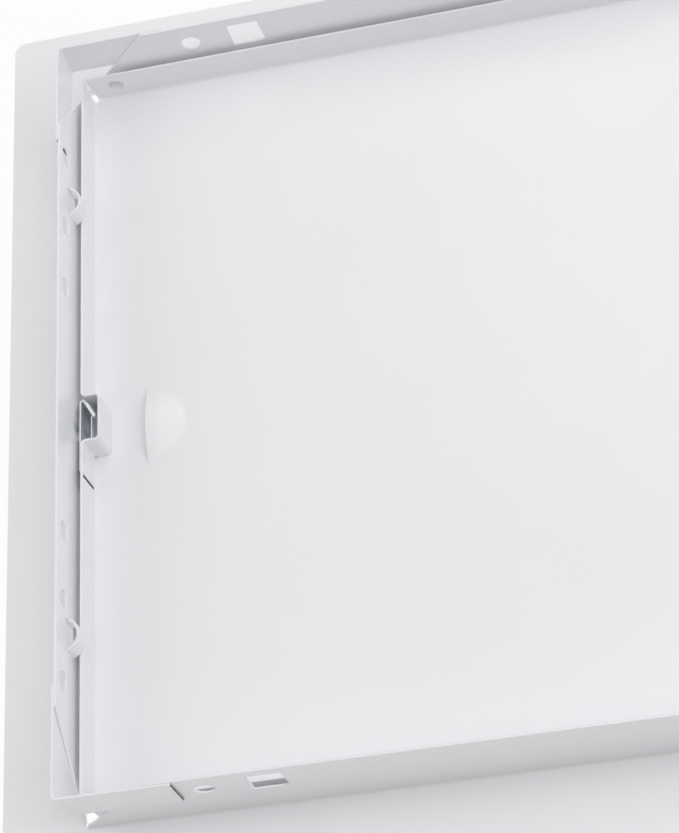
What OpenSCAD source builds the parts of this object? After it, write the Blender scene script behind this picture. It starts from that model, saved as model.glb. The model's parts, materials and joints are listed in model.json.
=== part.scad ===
// Hinged sheet-steel access panel for a ceiling or wall, lying face down.
// The flange's front face is at Z = 0 and the rear of the panel points up.
// X runs from the latch side to the hinge side, Y from the bottom to the top.

/* [Sheet] */
// Thickness of the frame, door and bracket sheet
sheet_t = 0.8; // [0.7:0.05:0.9]
// Outside radius of every bend in the sheet
bend_r = 1.6; // [1.4:0.1:1.8]

/* [Frame] */
// Width and height over the outside of the frame walls
wall_w = 250; // [220:1:300]
// Width of the flange outside the walls
flange_w = 25; // [20:1:32]
// Depth of the frame from the flange's front to the walls' rear edge
frame_depth = 28; // [26:0.5:32]
// Radius of the flange's outer corners
flange_r = 4; // [2:0.5:8]
// Radius of the round relief where two bends meet in a corner
relief_r = 0.6; // [0.5:0.05:0.8]

/* [Fixing holes] */
// Diameter of the round fixing holes
hole_d = 6; // [4:0.5:7]
// Side of the square tie slots
slot_w = 10; // [8:0.5:11]
// Height of the top and bottom wall holes above the flange's front
end_hole_z = 19.2; // [18:0.2:20]
// Distance of the end-wall holes from the corner
end_hole_in = 41.2; // [38:0.2:44]
// Distance of the tie slots from the corner
end_slot_in = 59.2; // [54:0.2:66]
// Height of the side-wall holes above the flange's front
side_hole_z = 22.2; // [21:0.2:22.6]
// Place of the inner side-wall holes, as a share of half the width over the walls
side_hole_inner = 0.328; // [0.3:0.002:0.35]
// Place of the middle side-wall holes, as a share of half the width over the walls
side_hole_middle = 0.502; // [0.48:0.002:0.53]
// Place of the outer side-wall holes, as a share of half the width over the walls
side_hole_outer = 0.704; // [0.68:0.002:0.72]

/* [Corner brackets] */
// Length of each bracket leg from the corner
bracket_leg = 33.8; // [31:0.1:34.5]
// Height of the brackets
bracket_h = 13.6; // [11:0.2:14]

/* [Door stops and strike] */
// Place of the half-round stops, as a share of half the width over the walls
stop_place = 0.583; // [0.57:0.001:0.6]
// Half width of a stop along the wall
stop_r = 5.3; // [5:0.1:5.8]
// How far a stop stands over the door's edge
stop_over = 1.4; // [1:0.1:1.8]
// Height of a stop, between its two sheared edges
stop_h = 6.4; // [6:0.1:7]
// Clearance between the stops and the closed door
stop_gap = 0.2; // [0.1:0.05:0.4]
// Radius of the strike dimple on the wall
strike_r = 6.2; // [5.6:0.1:6.4]
// Depth of the strike dimple
strike_depth = 1; // [0.8:0.05:1.2]
// Height of the strike dimple above the latch bead
strike_up = 1; // [0:0.1:1.4]

/* [Door] */
// Gap between the door and the frame walls
door_gap = 1.7; // [1.6:0.05:2.2]
// Setback of the door's front behind the flange's front
door_setback = 1.2; // [0.8:0.1:1.6]
// Depth of the door pan
door_depth = 12.3; // [11.8:0.1:13]
// Width of a corner seam at the pan
seam_base = 0.5; // [0.4:0.05:0.8]
// Width of a corner seam at the rear edge
seam_rim = 0.3; // [0.2:0.05:0.5]

/* [Finger recess] */
// Radius of the half-moon recess
recess_r = 13; // [11:0.5:15]
// Depth of the recess behind the pan
recess_h = 3; // [2.5:0.25:5]
// Distance of its straight side from the door's edge
recess_in = 17.6; // [15:0.2:20]

/* [Latch] */
// Length of the pocket in the door wall
pocket_l = 14.4; // [13.8:0.2:15.6]
// Depth of the pocket from the door wall's outer face
pocket_depth = 5.4; // [5:0.1:5.8]
// Radius of the pocket's inner corners
pocket_r = 1; // [0.6:0.1:1.4]
// Radius of the pocket's rim on the wall
rim_r = 1.7; // [1.5:0.1:2]
// Thickness of the spring leaf
leaf_t = 0.5; // [0.4:0.05:0.6]
// Height of the spring leaf
leaf_h = 9.4; // [9:0.1:9.6]
// Clearance between the leaf and the door
leaf_gap = 0.1; // [0.08:0.01:0.14]
// Drop of the leaf below the middle of the wall's flat part
leaf_drop = 0.5; // [0:0.1:0.6]
// Distance of the leaf's hook below the middle of the pocket
leaf_tail = 18.8; // [17:0.1:20]
// Clearance between the leaf's curled end and the end of the pocket
curl_gap = 0.6; // [0.5:0.05:0.9]
// Outside radius of the curl at the leaf's free end
curl_r = 0.9; // [0.85:0.05:1]
// Angle between the leaf and the barb folded back into the pocket
barb_angle = 29; // [26:1:33]
// Clearance between the barb and the back of the pocket
barb_gap = 0.95; // [0.9:0.05:1.4]
// Radius of the pressed bead on the leaf
bead_r = 3.5; // [3.2:0.1:3.7]
// Clearance between the bead and the bottom of the strike dimple
bead_gap = 0.3; // [0.28:0.01:0.4]
// Clearance on each side of the leaf's hook in its slit
slit_gap = 0.25; // [0.2:0.05:0.4]

/* [Hinge] */
// Distance of the hinge line from the door's edge
hinge_in = 9.7; // [9.4:0.1:10.4]
// Height of the hinge line above the door's front
hinge_up = 6.5; // [6.2:0.1:6.6]
// Diameter of the hinge pins
pin_d = 4.9; // [4.5:0.1:5]
// Running clearance round a pin in the door
pin_clear = 0.05; // [0.03:0.01:0.08]
// Diameter of a pin's head
head_d = 7.4; // [6.8:0.1:7.4]
// Thickness of a pin's head
head_t = 1.2; // [0.8:0.1:1.6]
// Length of a pin inside the door
pin_in = 3; // [2:0.1:4]
// Running clearance between a washer and the door
washer_clear = 0.15; // [0.1:0.01:0.2]

/* [Hidden] */
$fn = 96;
white = [0.93, 0.93, 0.92];
zinc = [0.62, 0.66, 0.70];
nylon = [0.88, 0.88, 0.85];
// half sizes of the frame walls and of the door
wall_out = wall_w / 2;
wall_in = wall_out - sheet_t;
door_out = wall_in - door_gap;
door_in = door_out - sheet_t;
overall = wall_w + 2 * flange_w;
fold_r = bend_r - sheet_t;
// heights of the door's pan and rear edge
pan_front = door_setback;
pan_rear = pan_front + sheet_t;
door_rim = pan_front + door_depth;
fold_top = pan_front + bend_r;
hinge_x = door_out - hinge_in;
hinge_z = pan_front + hinge_up;
bracket_z = frame_depth - bracket_h;
side_holes = wall_out * [side_hole_inner, side_hole_middle, side_hole_outer];
stop_y = wall_out * stop_place;
stop_out = door_gap + sheet_t + stop_over;
stop_curve = cap_radius(stop_r, stop_out);
stop_z = door_rim + stop_gap;
strike_ball = cap_radius(strike_r, strike_depth);
recess_ball = cap_radius(recess_r, recess_h);
// the leaf hangs near the middle of the flat part of the door wall
leaf_z = (fold_top + door_rim - leaf_h) / 2 - leaf_drop;
leaf_mid = leaf_z + leaf_h / 2;
leaf_face = -leaf_gap - leaf_t;
leaf_up = pocket_l / 2 - curl_gap;
// the barb runs from the curl to its clearance from the back of the pocket
barb_reach = pocket_depth - barb_gap - leaf_face - curl_r - curl_r * cos(barb_angle) - leaf_t;
barb_l = barb_reach / sin(barb_angle);
// height of the bead above the leaf's outer face
bead_h = door_gap + leaf_face + strike_depth - bead_gap;
bead_ball = cap_radius(bead_r, bead_h);
strike_z = leaf_mid + strike_up;
washer_t = door_gap - washer_clear;
eps = 0.01;

// radius of the ball whose cap has this base radius and height
function cap_radius(base, height) = (base * base + height * height) / (2 * height);

module rounded_rect(w, h, r) {
    square([w - 2 * r, h], center = true);
    square([w, h - 2 * r], center = true);
    for (x = [-1, 1], y = [-1, 1]) {
        translate([x * (w / 2 - r), y * (h / 2 - r)]) circle(r = r);
    }
}

// quarter of a bent strip about the origin, in the quadrant x < 0, y < 0
module bend_quarter(r, t) {
    intersection() {
        difference() {
            circle(r = r);
            circle(r = r - t);
        }
        translate([-r, -r]) square(r);
    }
}

// turns a drawing of x and z into a strip that runs along Y
module along_y(l) {
    rotate([90, 0, 0]) linear_extrude(l, center = true) children();
}

// turns a drawing of y and z into a plate that runs along X from x0
module along_x(x0, l) {
    translate([x0, 0, 0]) rotate([90, 0, 90]) linear_extrude(l) children();
}

// through both end walls, or through both side walls
module end_bore(x, z, d) {
    translate([x, 0, z]) rotate([90, 0, 0]) cylinder(d = d, h = overall, center = true);
}

module side_bore(y, z, d) {
    translate([0, y, z]) rotate([0, 90, 0]) cylinder(d = d, h = overall, center = true);
}

// one wall folded up from the flange, its ends cut at 45 degrees
module frame_flap() {
    intersection() {
        along_y(2 * wall_out) {
            translate([wall_in + bend_r, bend_r]) bend_quarter(bend_r, sheet_t);
            translate([wall_in, bend_r]) square([sheet_t, frame_depth - bend_r]);
        }
        along_x(0, overall) polygon([
            [-wall_in, 0],
            [wall_in, 0],
            [wall_in, 2 * sheet_t],
            [wall_out - frame_depth + sheet_t, frame_depth],
            [frame_depth - sheet_t - wall_out, frame_depth],
            [-wall_in, 2 * sheet_t]
        ]);
    }
}

// round of a stop, a strip of the wall sheared above and below and bulged inwards
module stop_round(y, r) {
    translate([stop_out - wall_in - stop_curve, y, stop_z]) cylinder(r = r, h = stop_h);
}

// ball of the strike dimple
module strike_ball_at(r) {
    translate([strike_ball - strike_depth - wall_in, 0, strike_z]) sphere(r = r);
}

// everything outside the latch side's wall, down into a quarter of its thickness
module outside_latch_wall() {
    x0 = -overall;
    translate([x0, -wall_out, 0]) cube([overall - wall_out + sheet_t / 4, wall_w, frame_depth]);
}

// square slot through both end walls
module end_slot(x) {
    translate([x, 0, end_hole_z]) cube([slot_w, overall, slot_w], center = true);
}

// round relief that keeps the bends apart in one corner of the frame
module corner_relief(x, y) {
    translate([x * wall_in, y * wall_in, -eps]) cylinder(r = relief_r, h = bend_r + relief_r);
}

module frame() {
    color(white) difference() {
        union() {
            linear_extrude(sheet_t) difference() {
                rounded_rect(overall, overall, flange_r);
                square([2 * (wall_in + bend_r), 2 * wall_in], center = true);
                square([2 * wall_in, 2 * (wall_in + bend_r)], center = true);
            }
            for (side = [0:3]) rotate(90 * side) frame_flap();
            intersection() {
                for (s = [-1, 1]) stop_round(s * stop_y, stop_curve);
                translate([-wall_out, -wall_out, 0]) cube([wall_out, wall_w, frame_depth]);
            }
            intersection() {
                strike_ball_at(strike_ball + sheet_t);
                outside_latch_wall();
            }
        }
        for (s = [-1, 1]) {
            stop_round(s * stop_y, stop_curve - sheet_t);
            end_bore(s * (wall_out - end_hole_in), end_hole_z, hole_d);
            end_slot(s * (wall_out - end_slot_in));
            for (y = side_holes) side_bore(s * y, side_hole_z, hole_d);
            for (c = [-1, 1]) corner_relief(s, c);
        }
        strike_ball_at(strike_ball);
        end_bore(hinge_x, hinge_z, pin_d);
    }
}

// angle plate round the outside of one corner, drawn at +X +Y
module corner_bracket() {
    color(white) translate([0, 0, bracket_z]) linear_extrude(bracket_h) {
        translate([wall_out - fold_r, wall_out - fold_r]) rotate(180) bend_quarter(bend_r, sheet_t);
        translate([wall_out - bracket_leg, wall_out]) square([bracket_leg - fold_r, sheet_t]);
        translate([wall_out, wall_out - bracket_leg]) square([sheet_t, bracket_leg - fold_r]);
    }
}

module corner_bracket_top_left() {
    mirror([1, 0, 0]) corner_bracket();
}

module corner_bracket_top_right() {
    corner_bracket();
}

module corner_bracket_bottom_left() {
    rotate(180) corner_bracket();
}

module corner_bracket_bottom_right() {
    mirror([0, 1, 0]) corner_bracket();
}

// one wall folded up from the pan; rim_half is its half length at the rear edge
module door_wall(rim_half) {
    intersection() {
        along_y(2 * door_out) {
            translate([door_out - bend_r, fold_top]) {
                mirror([1, 0]) bend_quarter(bend_r, sheet_t);
            }
            translate([door_in, fold_top]) square([sheet_t, door_depth - bend_r]);
        }
        along_x(0, overall) polygon([
            [seam_base + bend_r - door_out, pan_front],
            [door_out - bend_r - seam_base, pan_front],
            [rim_half, door_rim],
            [-rim_half, door_rim]
        ]);
    }
}

// plan of the pocket measured from the door wall's outer face, grown by g
module pocket_plan(g) {
    translate([0, -pocket_l / 2 - g]) square([pocket_depth - pocket_r, pocket_l + 2 * g]);
    translate([0, pocket_r - pocket_l / 2]) square([pocket_depth + g, pocket_l - 2 * pocket_r]);
    for (s = [-1, 1]) {
        translate([pocket_depth - pocket_r, s * (pocket_l / 2 - pocket_r)]) circle(r = pocket_r + g);
        difference() {
            translate([0, s * (pocket_l + rim_r) / 2 - rim_r / 2]) square(rim_r);
            translate([rim_r, s * (pocket_l / 2 + rim_r)]) circle(r = rim_r - g);
        }
    }
}

// the pocket between two heights, with the fold at the foot of the wall left whole
module pocket_block(z0, z1, g) {
    translate([-door_out, 0, fold_top]) linear_extrude(z1 - fold_top) pocket_plan(g);
    translate([-door_out, 0, z0]) linear_extrude(z1 - z0) intersection() {
        pocket_plan(g);
        translate([bend_r, -pocket_l]) square(2 * pocket_l);
    }
}

// half of a ball cap that rises from the pan
module recess_dome(r) {
    intersection() {
        translate([recess_in - door_out, 0, pan_rear + recess_h - recess_ball]) sphere(r = r);
        translate([recess_in - door_out, -recess_ball, pan_front]) cube(2 * recess_ball);
    }
}

module door_pan() {
    color(white) difference() {
        union() {
            translate([0, 0, pan_front]) linear_extrude(sheet_t) {
                square(2 * (door_out - bend_r), center = true);
            }
            for (side = [0:3]) {
                rotate(90 * side) door_wall(side % 2 == 0 ? door_out : door_in - seam_rim);
            }
            pocket_block(pan_front, door_rim, sheet_t);
            recess_dome(recess_ball);
        }
        pocket_block(pan_rear, door_rim + sheet_t, 0);
        translate([-eps - door_out, -pocket_l / 2, fold_top]) cube([2 * eps, pocket_l, door_depth]);
        recess_hollow();
        for (s = [-1, 1]) end_bore(s * hinge_x, hinge_z, pin_d + 2 * pin_clear);
        translate([-door_out - sheet_t, -leaf_tail - leaf_t / 2 - slit_gap, leaf_z - slit_gap]) {
            cube([3 * sheet_t, leaf_t + 2 * slit_gap, leaf_h + 2 * slit_gap]);
        }
    }
}

// hollow of the finger recess, open to the front
module recess_hollow() {
    x0 = recess_in - door_out;
    intersection() {
        translate([x0, 0, pan_rear + recess_h - recess_ball]) sphere(r = recess_ball - sheet_t);
        translate([x0 + sheet_t, -recess_ball, pan_front - sheet_t]) cube(2 * recess_ball);
    }
}

// plan of the leaf measured from the door wall's outer face
module leaf_plan() {
    r = 2 * leaf_t;
    foot = -leaf_tail - leaf_t / 2;
    translate([leaf_face, foot + r]) square([leaf_t, leaf_up - curl_r - foot - r]);
    translate([leaf_face + r, foot + r]) bend_quarter(r, leaf_t);
    translate([leaf_face + r, foot]) square([sheet_t - leaf_face - r, leaf_t]);
    translate([leaf_face + curl_r, leaf_up - curl_r]) leaf_curl();
}

// round end of the leaf, with the end of its straight side and the barb folded back from it;
// the barb is doubled by a hem round its tip
module leaf_curl() {
    bore = curl_r - leaf_t;
    difference() {
        union() {
            circle(r = curl_r);
            translate([-curl_r, -curl_r]) square(curl_r);
            rotate(barb_angle) translate([0, -barb_l]) square([curl_r, barb_l]);
        }
        circle(r = bore);
        translate([-bore, -2 * curl_r]) square([2 * bore, 2 * curl_r]);
        rotate(barb_angle) translate([-bore, -2 * barb_l]) square([2 * bore, 2 * barb_l]);
    }
    rotate(barb_angle) {
        translate([curl_r, -barb_l]) circle(r = leaf_t);
        translate([curl_r - leaf_t / 2, -barb_l]) square([1.5 * leaf_t, barb_l - curl_r]);
    }
}

// ball of the bead, with its box limited to the straight side of the leaf
module bead_ball_at(r) {
    x0 = leaf_face - bead_h;
    intersection() {
        translate([x0 + bead_ball, 0, leaf_mid]) sphere(r = r);
        translate([x0, -bead_r, leaf_mid - bead_r]) cube([-x0 - leaf_gap, 2 * bead_r, 2 * bead_r]);
    }
}

module latch_leaf() {
    color(zinc) translate([-door_out, 0, 0]) difference() {
        union() {
            translate([0, 0, leaf_z]) linear_extrude(leaf_h) leaf_plan();
            bead_ball_at(bead_ball);
        }
        bead_ball_at(bead_ball - leaf_t);
    }
}

// headed pin at +Y: head outside the frame, shank through the frame and the door
module hinge_pin() {
    color(zinc) translate([hinge_x, 0, hinge_z]) rotate([-90, 0, 0]) {
        translate([0, 0, door_in - pin_in]) cylinder(d = pin_d, h = wall_out - door_in + pin_in + eps);
        translate([0, 0, wall_out]) cylinder(d = head_d, h = head_t);
    }
}

module hinge_pin_top() {
    hinge_pin();
}

module hinge_pin_bottom() {
    mirror([0, 1, 0]) hinge_pin();
}

// flat washer on the pin between the frame wall and the door
module hinge_washer() {
    color(nylon) translate([hinge_x, wall_in - washer_t, hinge_z]) rotate([-90, 0, 0]) difference() {
        cylinder(d = head_d, h = washer_t);
        translate([0, 0, -1]) cylinder(d = pin_d, h = washer_t + 2);
    }
}

module hinge_washer_top() {
    hinge_washer();
}

module hinge_washer_bottom() {
    mirror([0, 1, 0]) hinge_washer();
}

frame();
corner_bracket_top_left();
corner_bracket_top_right();
corner_bracket_bottom_left();
corner_bracket_bottom_right();
door_pan();
latch_leaf();
hinge_pin_top();
hinge_pin_bottom();
hinge_washer_top();
hinge_washer_bottom();
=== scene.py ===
import json
import math
import bmesh
import bpy
from mathutils import Matrix, Vector


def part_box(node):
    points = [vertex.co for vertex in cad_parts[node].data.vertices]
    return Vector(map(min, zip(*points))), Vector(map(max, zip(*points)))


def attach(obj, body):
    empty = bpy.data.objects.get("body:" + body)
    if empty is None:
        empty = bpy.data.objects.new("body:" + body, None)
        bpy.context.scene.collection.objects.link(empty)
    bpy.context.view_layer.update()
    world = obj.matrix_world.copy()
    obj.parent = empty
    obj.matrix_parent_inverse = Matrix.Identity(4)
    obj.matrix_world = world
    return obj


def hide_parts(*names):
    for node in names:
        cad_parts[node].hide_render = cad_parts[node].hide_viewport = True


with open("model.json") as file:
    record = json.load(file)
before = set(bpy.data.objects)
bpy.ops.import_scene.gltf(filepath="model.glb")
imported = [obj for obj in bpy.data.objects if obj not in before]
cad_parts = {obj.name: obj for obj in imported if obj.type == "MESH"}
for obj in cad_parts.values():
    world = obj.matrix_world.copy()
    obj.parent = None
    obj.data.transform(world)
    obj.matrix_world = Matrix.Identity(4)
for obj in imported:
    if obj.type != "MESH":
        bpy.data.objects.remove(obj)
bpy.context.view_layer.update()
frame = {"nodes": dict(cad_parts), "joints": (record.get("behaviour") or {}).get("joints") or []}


# Frame: one blank of 0.8 mm steel sheet, punched, its opening's four flaps folded back
# at right angles from the flange, two door stops and the strike pressed into them.
# It is coated with gloss white powder after folding, which rounds every cut edge.
COAT_EDGE = 0.00026
COAT_THIN = (0.903, 0.903, 0.925, 1)
COAT_FULL = (0.921, 0.921, 0.940, 1)
COAT_ROUGHNESS = 0.18
COAT_CLOUDING = 0.08
COAT_IOR = 1.5
FILM_GRAIN = 28
CLOUD_GRAIN = 110
WAVE_GRAIN = 34
PEEL_GRAIN = 620
PEEL_SHARE = 0.16
FRAME_CORNER = 0.122
FOLD_FOOT = 0.003

SAME_POINT = 1e-6
SAME_HEIGHT = 1e-5
SAME_PLANE = math.radians(0.2)
SIDEWAYS_COSINE = 0.87
ROUNDED_SHARE = 0.4


def side_room(edge):
    """The length of the shortest edge that turns off sideways from an edge's ends."""
    along = (edge.verts[1].co - edge.verts[0].co).normalized()
    room = math.inf
    for vert in edge.verts:
        for other in vert.link_edges:
            turn = (other.other_vert(vert).co - vert.co).normalized()
            if other is not edge and abs(turn.dot(along)) < SIDEWAYS_COSINE:
                room = min(room, other.calc_length())
    return room


def weigh_edges(shape, radius, least, corner, foot):
    """Weighs the outer edges by the room that a coat has to round them, and keeps inner ones sharp."""
    weight = shape.edges.layers.float.new("bevel_weight_edge")
    for edge in shape.edges:
        ends = [vert.co for vert in edge.verts]
        at_corner = all(min(abs(end.x), abs(end.y)) > corner for end in ends)
        at_foot = all(end.z < foot + SAME_HEIGHT for end in ends)
        sharp = edge.calc_face_angle(0) > math.radians(least)
        if sharp and edge.is_convex and not (at_corner and at_foot):
            edge[weight] = min(1, ROUNDED_SHARE * side_room(edge) / radius)
        else:
            edge.smooth = not sharp


def coated_copy(node, name, radius, least=30, corner=math.inf, foot=0.0):
    """A copy of a solid, its triangles joined and its outer edges rounded by a coat.

    Edges that turn by less than the least angle, in degrees, are only smoothed over.
    Beyond the corner distance in X and Y, the edges below the foot height stay sharp.
    """
    mesh = frame["nodes"][node].data.copy()
    mesh.name = name
    mesh.materials.clear()
    shape = bmesh.new()
    shape.from_mesh(mesh)
    bmesh.ops.remove_doubles(shape, verts=shape.verts, dist=SAME_POINT)
    bmesh.ops.dissolve_limit(shape, angle_limit=SAME_PLANE, verts=shape.verts, edges=shape.edges)
    if foot:
        parts = shape.verts[:] + shape.edges[:] + shape.faces[:]
        bmesh.ops.bisect_plane(shape, geom=parts, plane_co=(0, 0, foot), plane_no=(0, 0, 1))
    weigh_edges(shape, radius, least, corner, foot)
    for face in shape.faces:
        face.smooth = True
    shape.to_mesh(mesh)
    shape.free()
    piece = bpy.data.objects.new(name, mesh)
    bpy.context.scene.collection.objects.link(piece)
    edges = piece.modifiers.new("coat_edges", "BEVEL")
    edges.limit_method = "WEIGHT"
    edges.width = radius
    edges.segments = 2
    edges.use_clamp_overlap = False
    flats = piece.modifiers.new("flat_faces", "WEIGHTED_NORMAL")
    flats.weight = 90
    flats.keep_sharp = True
    return piece


def made_plain(piece):
    """Turns a piece and its modifiers into one plain mesh."""
    seen = piece.evaluated_get(bpy.context.evaluated_depsgraph_get())
    mesh = bpy.data.meshes.new_from_object(seen)
    piece.modifiers.clear()
    piece.data = mesh
    return piece


class Wire:
    """An output of a shader node; sums, products and comparisons of wires add Math nodes."""

    def __init__(self, socket):
        self.socket = socket

    @staticmethod
    def node(tree, kind, settings, values, out=0):
        """One output of a new node, after its settings and then its sockets' values or wires are set."""
        made = tree.nodes.new(kind)
        for name, value in settings.items():
            setattr(made, name, value)
        for key, value in values.items():
            if isinstance(value, Wire):
                tree.links.new(value.socket, made.inputs[key])
            else:
                made.inputs[key].default_value = value
        return Wire(made.outputs[out])

    @staticmethod
    def maths(operation, first, second):
        wire = first if isinstance(first, Wire) else second
        values = {0: first, 1: second}
        return Wire.node(wire.socket.id_data, "ShaderNodeMath", {"operation": operation}, values)

    def __add__(self, other):
        return Wire.maths("ADD", self, other)

    def __sub__(self, other):
        return Wire.maths("SUBTRACT", self, other)

    def __rsub__(self, other):
        return Wire.maths("SUBTRACT", other, self)

    def __mul__(self, other):
        return Wire.maths("MULTIPLY", self, other)

    def __lt__(self, other):
        return Wire.maths("LESS_THAN", self, other)

    def __gt__(self, other):
        return Wire.maths("GREATER_THAN", self, other)

    __radd__ = __add__
    __rmul__ = __mul__


def blank_finish(name):
    """A material and its empty tree."""
    finish = bpy.data.materials.new(name)
    finish.use_nodes = True
    finish.node_tree.nodes.clear()
    return finish, finish.node_tree


def place_on_piece(tree):
    """The place of a point of a piece, in metres from the panel's origin."""
    return Wire.node(tree, "ShaderNodeTexCoord", {}, {}, "Object")


def grain(tree, place, scale, detail=2.0):
    """Noise with about 1 / scale metres from crest to crest."""
    return Wire.node(tree, "ShaderNodeTexNoise", {}, {"Vector": place, "Scale": scale, "Detail": detail})


def relief(tree, height, strength, depth):
    """A bump that stands up to a depth in metres out of the surface."""
    values = {"Height": height, "Strength": strength, "Distance": depth}
    return Wire.node(tree, "ShaderNodeBump", {}, values)


def blend_colours(tree, share, first, second):
    """A colour that goes from the first to the second as the share goes from 0 to 1."""
    return Wire.node(tree, "ShaderNodeMix", {"data_type": "RGBA"}, {0: share, 6: first, 7: second}, 2)


def end_tree(tree, surface, kind="ShaderNodeOutputMaterial"):
    """Ends a tree in a surface."""
    end = tree.nodes.new(kind)
    tree.links.new(surface.socket, end.inputs["Surface"])


def close_finish(tree, values):
    """Ends a tree in one surface shader with the given values."""
    end_tree(tree, Wire.node(tree, "ShaderNodeBsdfPrincipled", {}, values))


def white_coat(name, darkened=None):
    """Gloss white powder with a slight orange peel; a function can make its colour darker in places."""
    finish, tree = blank_finish(name)
    place = place_on_piece(tree)
    film = grain(tree, place, FILM_GRAIN)
    cloud = grain(tree, place, CLOUD_GRAIN)
    wave = grain(tree, place, WAVE_GRAIN, detail=0.0)
    peel = grain(tree, place, PEEL_GRAIN, detail=1.0)
    colour = blend_colours(tree, film, COAT_THIN, COAT_FULL)
    close_finish(tree, {
        "Base Color": darkened(tree, place, colour) if darkened else colour,
        "Roughness": COAT_ROUGHNESS + cloud * COAT_CLOUDING,
        "Normal": relief(tree, peel * PEEL_SHARE + wave, strength=1.0, depth=0.00005),
        "IOR": COAT_IOR,
    })
    return finish


gloss_coat = white_coat("gloss_white_coat")

frame_sheet = made_plain(
    coated_copy("frame", "frame_sheet", COAT_EDGE, corner=FRAME_CORNER, foot=FOLD_FOOT))
frame_sheet.data.materials.append(gloss_coat)
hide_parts("frame")
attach(frame_sheet, "frame")


# Corner brackets: four angle plates bent from the same sheet, spot-welded to the outside
# of the flaps, where they bridge the open corners. They are coated along with the frame,
# and the ends of their legs carry painted shade, a near-black band where they meet the walls.
CORNERS = 4
END_PAINTED_SHADE = (0.10, 0.10, 0.11, 1)
END_BAND = 0.00015
END_BELOW_TOP = 0.0006

bracket_low, bracket_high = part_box("corner_bracket_top_right")


def part_along(tree, vector, axis):
    """One of a vector's three parts."""
    return Wire.node(tree, "ShaderNodeSeparateXYZ", {}, {"Vector": vector}, axis)


def painted_end_shade(tree, place, colour):
    """The colour of a bracket, with painted shade at the ends of its two legs up to just below its top
    edge.
    """
    from_middle = Wire.node(tree, "ShaderNodeVectorMath", {"operation": "ABSOLUTE"}, {0: place})
    across, up, height = (part_along(tree, from_middle, axis) for axis in "XYZ")
    # Painted shade: leg ends below the top edge turn near-black, standing for the shadow gap against the
    # walls.
    at_end = Wire.maths("MINIMUM", across, up) < bracket_low.x + END_BAND
    below_top = height < bracket_high.z - END_BELOW_TOP
    return blend_colours(tree, at_end * below_top, colour, END_PAINTED_SHADE)


bracket_coat = white_coat("bracket_white_coat", painted_end_shade)


def turned_copies_tree():
    """Copies of a shape, each turned about Z and moved on from the last one."""
    tree = bpy.data.node_groups.new("turned_copies", "GeometryNodeTree")
    for name, kind in [
        ("Shape", "NodeSocketGeometry"),
        ("Copies", "NodeSocketInt"),
        ("Turn", "NodeSocketFloat"),
        ("Step", "NodeSocketVector"),
        ("Finish", "NodeSocketMaterial"),
    ]:
        tree.interface.new_socket(name, in_out="INPUT", socket_type=kind)
    tree.interface.new_socket("Pieces", in_out="OUTPUT", socket_type="NodeSocketGeometry")
    given = tree.nodes.new("NodeGroupInput").outputs
    line = tree.nodes.new("GeometryNodeMeshLine")
    index = tree.nodes.new("GeometryNodeInputIndex")
    angle = tree.nodes.new("ShaderNodeMath")
    angle.operation = "MULTIPLY"
    spin = tree.nodes.new("ShaderNodeCombineXYZ")
    copies = tree.nodes.new("GeometryNodeInstanceOnPoints")
    real = tree.nodes.new("GeometryNodeRealizeInstances")
    paint = tree.nodes.new("GeometryNodeSetMaterial")
    result = tree.nodes.new("NodeGroupOutput")
    for start, end in [
        (given["Copies"], line.inputs["Count"]),
        (given["Step"], line.inputs["Offset"]),
        (index.outputs[0], angle.inputs[0]),
        (given["Turn"], angle.inputs[1]),
        (angle.outputs[0], spin.inputs["Z"]),
        (line.outputs[0], copies.inputs["Points"]),
        (given["Shape"], copies.inputs["Instance"]),
        (spin.outputs[0], copies.inputs["Rotation"]),
        (copies.outputs[0], real.inputs[0]),
        (real.outputs[0], paint.inputs["Geometry"]),
        (given["Finish"], paint.inputs["Material"]),
        (paint.outputs[0], result.inputs[0]),
    ]:
        tree.links.new(start, end)
    return tree


turned_copies = turned_copies_tree()


def turned_set(piece, copies, turn, step, finish):
    """Runs the tree on a piece and keeps its copies as one plain mesh."""
    turned = piece.modifiers.new("copies", "NODES")
    turned.node_group = turned_copies
    values = {"Copies": copies, "Turn": turn, "Step": step, "Finish": finish}
    for item in turned_copies.interface.items_tree:
        if item.name in values:
            turned[item.identifier] = values[item.name]
    return made_plain(piece)


brackets = coated_copy("corner_bracket_top_right", "corner_brackets", COAT_EDGE)
turned_set(brackets, CORNERS, math.tau / CORNERS, (0, 0, 0), bracket_coat)
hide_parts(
    "corner_bracket_top_right", "corner_bracket_top_left",
    "corner_bracket_bottom_left", "corner_bracket_bottom_right")
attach(brackets, "frame")


# Hinge pins: two headed pins of zinc-plated steel, turned on a lathe and pressed through
# the frame's end walls. Their shanks carry the door.
PIN_EDGE = 0.0003
ZINC_DARK = (0.42, 0.45, 0.48, 1)
ZINC_LIGHT = (0.66, 0.68, 0.70, 1)
ZINC_ROUGHNESS = 0.24
ZINC_CLOUDING = 0.2
SPANGLE_GRAIN = 900
SPANGLE_SHARE = 0.5
LATHE_RINGS = 900
LATHE_WANDER = 0.4
HINGE_ENDS = 2

hinge_place = next(joint["pos_m"] for joint in frame["joints"] if joint["name"] == "door_hinge")
to_other_end = (2 * hinge_place[0], 0, 0)

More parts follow.
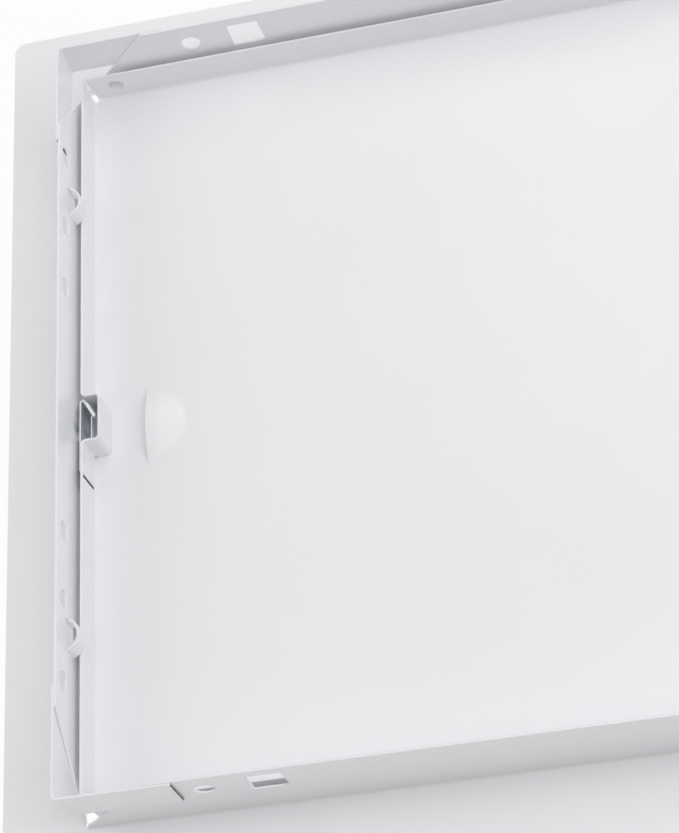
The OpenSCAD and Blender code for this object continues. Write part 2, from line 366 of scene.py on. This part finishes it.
zinc_plate, zinc_tree = blank_finish("zinc_plated_steel")
zinc_place = place_on_piece(zinc_tree)
from_axis = Wire.node(
    zinc_tree, "ShaderNodeVectorMath", {"operation": "SUBTRACT"}, {0: zinc_place, 1: hinge_place})
turning = Wire.node(
    zinc_tree, "ShaderNodeTexWave", {"wave_type": "RINGS", "rings_direction": "Y"},
    {"Vector": from_axis, "Scale": LATHE_RINGS, "Distortion": LATHE_WANDER, "Detail": 1.0})
spangle = grain(zinc_tree, zinc_place, SPANGLE_GRAIN)
close_finish(zinc_tree, {
    "Base Color": blend_colours(zinc_tree, spangle, ZINC_DARK, ZINC_LIGHT),
    "Roughness": ZINC_ROUGHNESS + spangle * ZINC_CLOUDING,
    "Normal": relief(zinc_tree, turning + spangle * SPANGLE_SHARE, strength=0.5, depth=0.00001),
    "Metallic": 1.0,
})

pins = coated_copy("hinge_pin_top", "hinge_pins", PIN_EDGE)
turned_set(pins, HINGE_ENDS, math.pi, to_other_end, zinc_plate)
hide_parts("hinge_pin_top", "hinge_pin_bottom")
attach(pins, "frame")


# Hinge washers: two flat washers stamped from natural nylon. They sit on the pins and keep
# the coated door off the coated frame.
WASHER_EDGE = 0.00015
NYLON_MILK = (0.70, 0.69, 0.63, 1)
NYLON_CLEAR = (0.80, 0.79, 0.74, 1)
NYLON_ROUGHNESS = 0.42
NYLON_CLOUDING = 0.12
NYLON_GRAIN = 500

nylon, nylon_tree = blank_finish("natural_nylon")
flow = grain(nylon_tree, place_on_piece(nylon_tree), NYLON_GRAIN)
close_finish(nylon_tree, {
    "Base Color": blend_colours(nylon_tree, flow, NYLON_MILK, NYLON_CLEAR),
    "Roughness": NYLON_ROUGHNESS + flow * NYLON_CLOUDING,
    "Normal": relief(nylon_tree, flow, strength=0.4, depth=0.00002),
})

washers = coated_copy("hinge_washer_top", "hinge_washers", WASHER_EDGE)
turned_set(washers, HINGE_ENDS, math.pi, to_other_end, nylon)
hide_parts("hinge_washer_top", "hinge_washer_bottom")
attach(washers, "frame")


# Door: a shallow pan of the same sheet with four folded walls, open seams at its corners,
# a pressed finger recess and a pocket for the latch. It is coated in gloss white powder.
DOOR_CORNER = 0.119

door_sheet = made_plain(
    coated_copy("door_pan", "door_sheet", COAT_EDGE, corner=DOOR_CORNER, foot=FOLD_FOOT))
door_sheet.data.materials.append(gloss_coat)
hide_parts("door_pan")
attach(door_sheet, "door")


# Latch leaf: a strip of bare spring steel, 0.5 mm thick, hooked through a slit in the door's
# wall. Its pressed bead snaps into the frame's strike, and its free end turns into the pocket.
# Its upward-facing faces get the pale colour of its sheared edges together with a painted highlight, and
# its hook is painted near-black as painted shade in the slit.
LEAF_EDGE = 0.00007
LEAF_LEAST_TURN = 60
HOOK_LENGTH = 0.00185
STEEL_BLUE = (0.60, 0.66, 0.71, 1)
STEEL_PALE = (0.80, 0.84, 0.88, 1)
STEEL_SHEARED_AND_HIGHLIGHT = (0.93, 0.93, 0.92, 1)
HOOK_PAINTED_SHADE = (0.07, 0.08, 0.09, 1)
STEEL_METALLIC = 0.55
STEEL_ROUGHNESS = 0.26
ROLLED_CLOUDING = 0.16
SHEARED_CLOUDING = 0.3
ROLLED_GRAIN = (4000, 160, 4000)
TEMPER_GRAIN = 240
TEMPER_SHARE = 0.5
EDGE_FACES_UP = 0.9

hook_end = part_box("latch_leaf")[0].y + HOOK_LENGTH

spring_steel, leaf_tree = blank_finish("bare_spring_steel")
leaf_place = place_on_piece(leaf_tree)
along_leaf = Wire.node(
    leaf_tree, "ShaderNodeMapping", {}, {"Vector": leaf_place, "Scale": ROLLED_GRAIN})
rolled = grain(leaf_tree, along_leaf, scale=1.0)
temper = grain(leaf_tree, leaf_place, TEMPER_GRAIN)
facing = Wire.node(leaf_tree, "ShaderNodeNewGeometry", {}, {}, "Normal")
hook = part_along(leaf_tree, leaf_place, "Y") < hook_end
# Painted highlight, partly the real bright sheared steel: faces that point up get a pale colour and more
# roughness.
sheared_and_highlight = (part_along(leaf_tree, facing, "Z") > EDGE_FACES_UP) * (1 - hook)
blued = rolled * (1 - TEMPER_SHARE) + temper * TEMPER_SHARE
rolled_colour = blend_colours(leaf_tree, blued, STEEL_BLUE, STEEL_PALE)
strip_colour = blend_colours(leaf_tree, sheared_and_highlight, rolled_colour, STEEL_SHEARED_AND_HIGHLIGHT)
close_finish(leaf_tree, {
    # Painted shade: the hook, lying in the slit of the door's wall, is coloured near-black.
    "Base Color": blend_colours(leaf_tree, hook, strip_colour, HOOK_PAINTED_SHADE),
    "Roughness": STEEL_ROUGHNESS + rolled * ROLLED_CLOUDING + sheared_and_highlight * SHEARED_CLOUDING,
    "Normal": relief(leaf_tree, rolled, strength=0.3, depth=0.00001),
    "Metallic": STEEL_METALLIC,
})

leaf = made_plain(coated_copy("latch_leaf", "latch_spring", LEAF_EDGE, least=LEAF_LEAST_TURN))
leaf.data.materials.append(spring_steel)
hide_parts("latch_leaf")
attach(leaf, "latch")


# Studio: the panel is held face down above a white light table in an even tent, with room for
# its door to swing open. A soft box behind it shows its mirror image in the gloss of the door,
# and three more light it from above and from both sides.
TABLE_REACH = 3.0
TABLE_DROP = 0.25
TABLE_GLOW = 0.93
TABLE_PAINT = (0.9, 0.9, 0.9, 1)
WHITE = (1, 1, 1, 1)
TENT_LEVEL = 0.4
MIDDLE = (-0.05, 0, 0.01)

table_corners = [
    (x * TABLE_REACH, y * TABLE_REACH, -TABLE_DROP) for x, y in ((-1, -1), (1, -1), (1, 1), (-1, 1))]
table_mesh = bpy.data.meshes.new("table")
table_mesh.from_pydata(table_corners, [], [(0, 1, 2, 3)])
table = bpy.data.objects.new("table", table_mesh)
bpy.context.scene.collection.objects.link(table)

table_white, table_tree = blank_finish("table_white")
sheet = Wire.node(table_tree, "ShaderNodeBsdfDiffuse", {}, {"Color": TABLE_PAINT})
glow = Wire.node(table_tree, "ShaderNodeEmission", {}, {"Color": WHITE, "Strength": 1.0})
lit_sheet = Wire.node(table_tree, "ShaderNodeMixShader", {}, {0: TABLE_GLOW, 1: sheet, 2: glow})
end_tree(table_tree, lit_sheet)
table_mesh.materials.append(table_white)

tent = bpy.data.worlds.new("tent")
tent.use_nodes = True
tent.node_tree.nodes.clear()
tent_light = Wire.node(
    tent.node_tree, "ShaderNodeBackground", {}, {"Color": WHITE, "Strength": TENT_LEVEL})
end_tree(tent.node_tree, tent_light, "ShaderNodeOutputWorld")
bpy.context.scene.world = tent


def soft_box(name, level, size, place, aim):
    """An area lamp of a given brightness, aimed at a point."""
    light = bpy.data.lights.new(name, "AREA")
    light.shape = "RECTANGLE"
    light.size, light.size_y = size
    light.energy = level * math.pi * size[0] * size[1]
    lamp = bpy.data.objects.new(name, light)
    lamp.location = place
    lamp.rotation_euler = (Vector(aim) - Vector(place)).to_track_quat("-Z", "Y").to_euler()
    lamp.visible_camera = False
    bpy.context.scene.collection.objects.link(lamp)


soft_box("mirrored_box", level=1.15, size=(1.255, 1.02), place=(0.3725, 1.09, 1.2), aim=(0.3725, 1.09, 0))
soft_box("upper_box", level=0.85, size=(1.2, 1.2), place=(0.35, -0.10, 1.10), aim=MIDDLE)
soft_box("left_box", level=1.75, size=(0.9, 0.9), place=(-1.2, 0.1, 0.9), aim=MIDDLE)
soft_box("right_box", level=1.8, size=(0.9, 0.9), place=(1.3, -0.2, 0.9), aim=MIDDLE)


# Camera: a long lens above the foot of the panel, aimed at the latch side and close enough to
# leave the hinge side out of the picture.
LENS_PIXELS = 2849.2
PICTURE_HEIGHT = 833
SENSOR_HEIGHT = 36.0
EYE = Vector((0.132587, -0.398709, 0.730654))
AHEAD = Vector((-0.210068, 0.462841, -0.861191))
DOWN = Vector((-0.152700, -0.885568, -0.438694))

lens = bpy.data.cameras.new("camera")
lens.sensor_fit = "VERTICAL"
lens.sensor_height = SENSOR_HEIGHT
lens.lens = LENS_PIXELS * SENSOR_HEIGHT / PICTURE_HEIGHT
lens.clip_start = 0.05
lens.clip_end = 50
camera = bpy.data.objects.new("camera", lens)
axes = Matrix((DOWN.cross(AHEAD), -DOWN, -AHEAD)).transposed()
camera.matrix_world = Matrix.Translation(EYE) @ axes.to_4x4()
bpy.context.scene.collection.objects.link(camera)
bpy.context.scene.camera = camera
bpy.context.scene.view_settings.view_transform = "Standard"
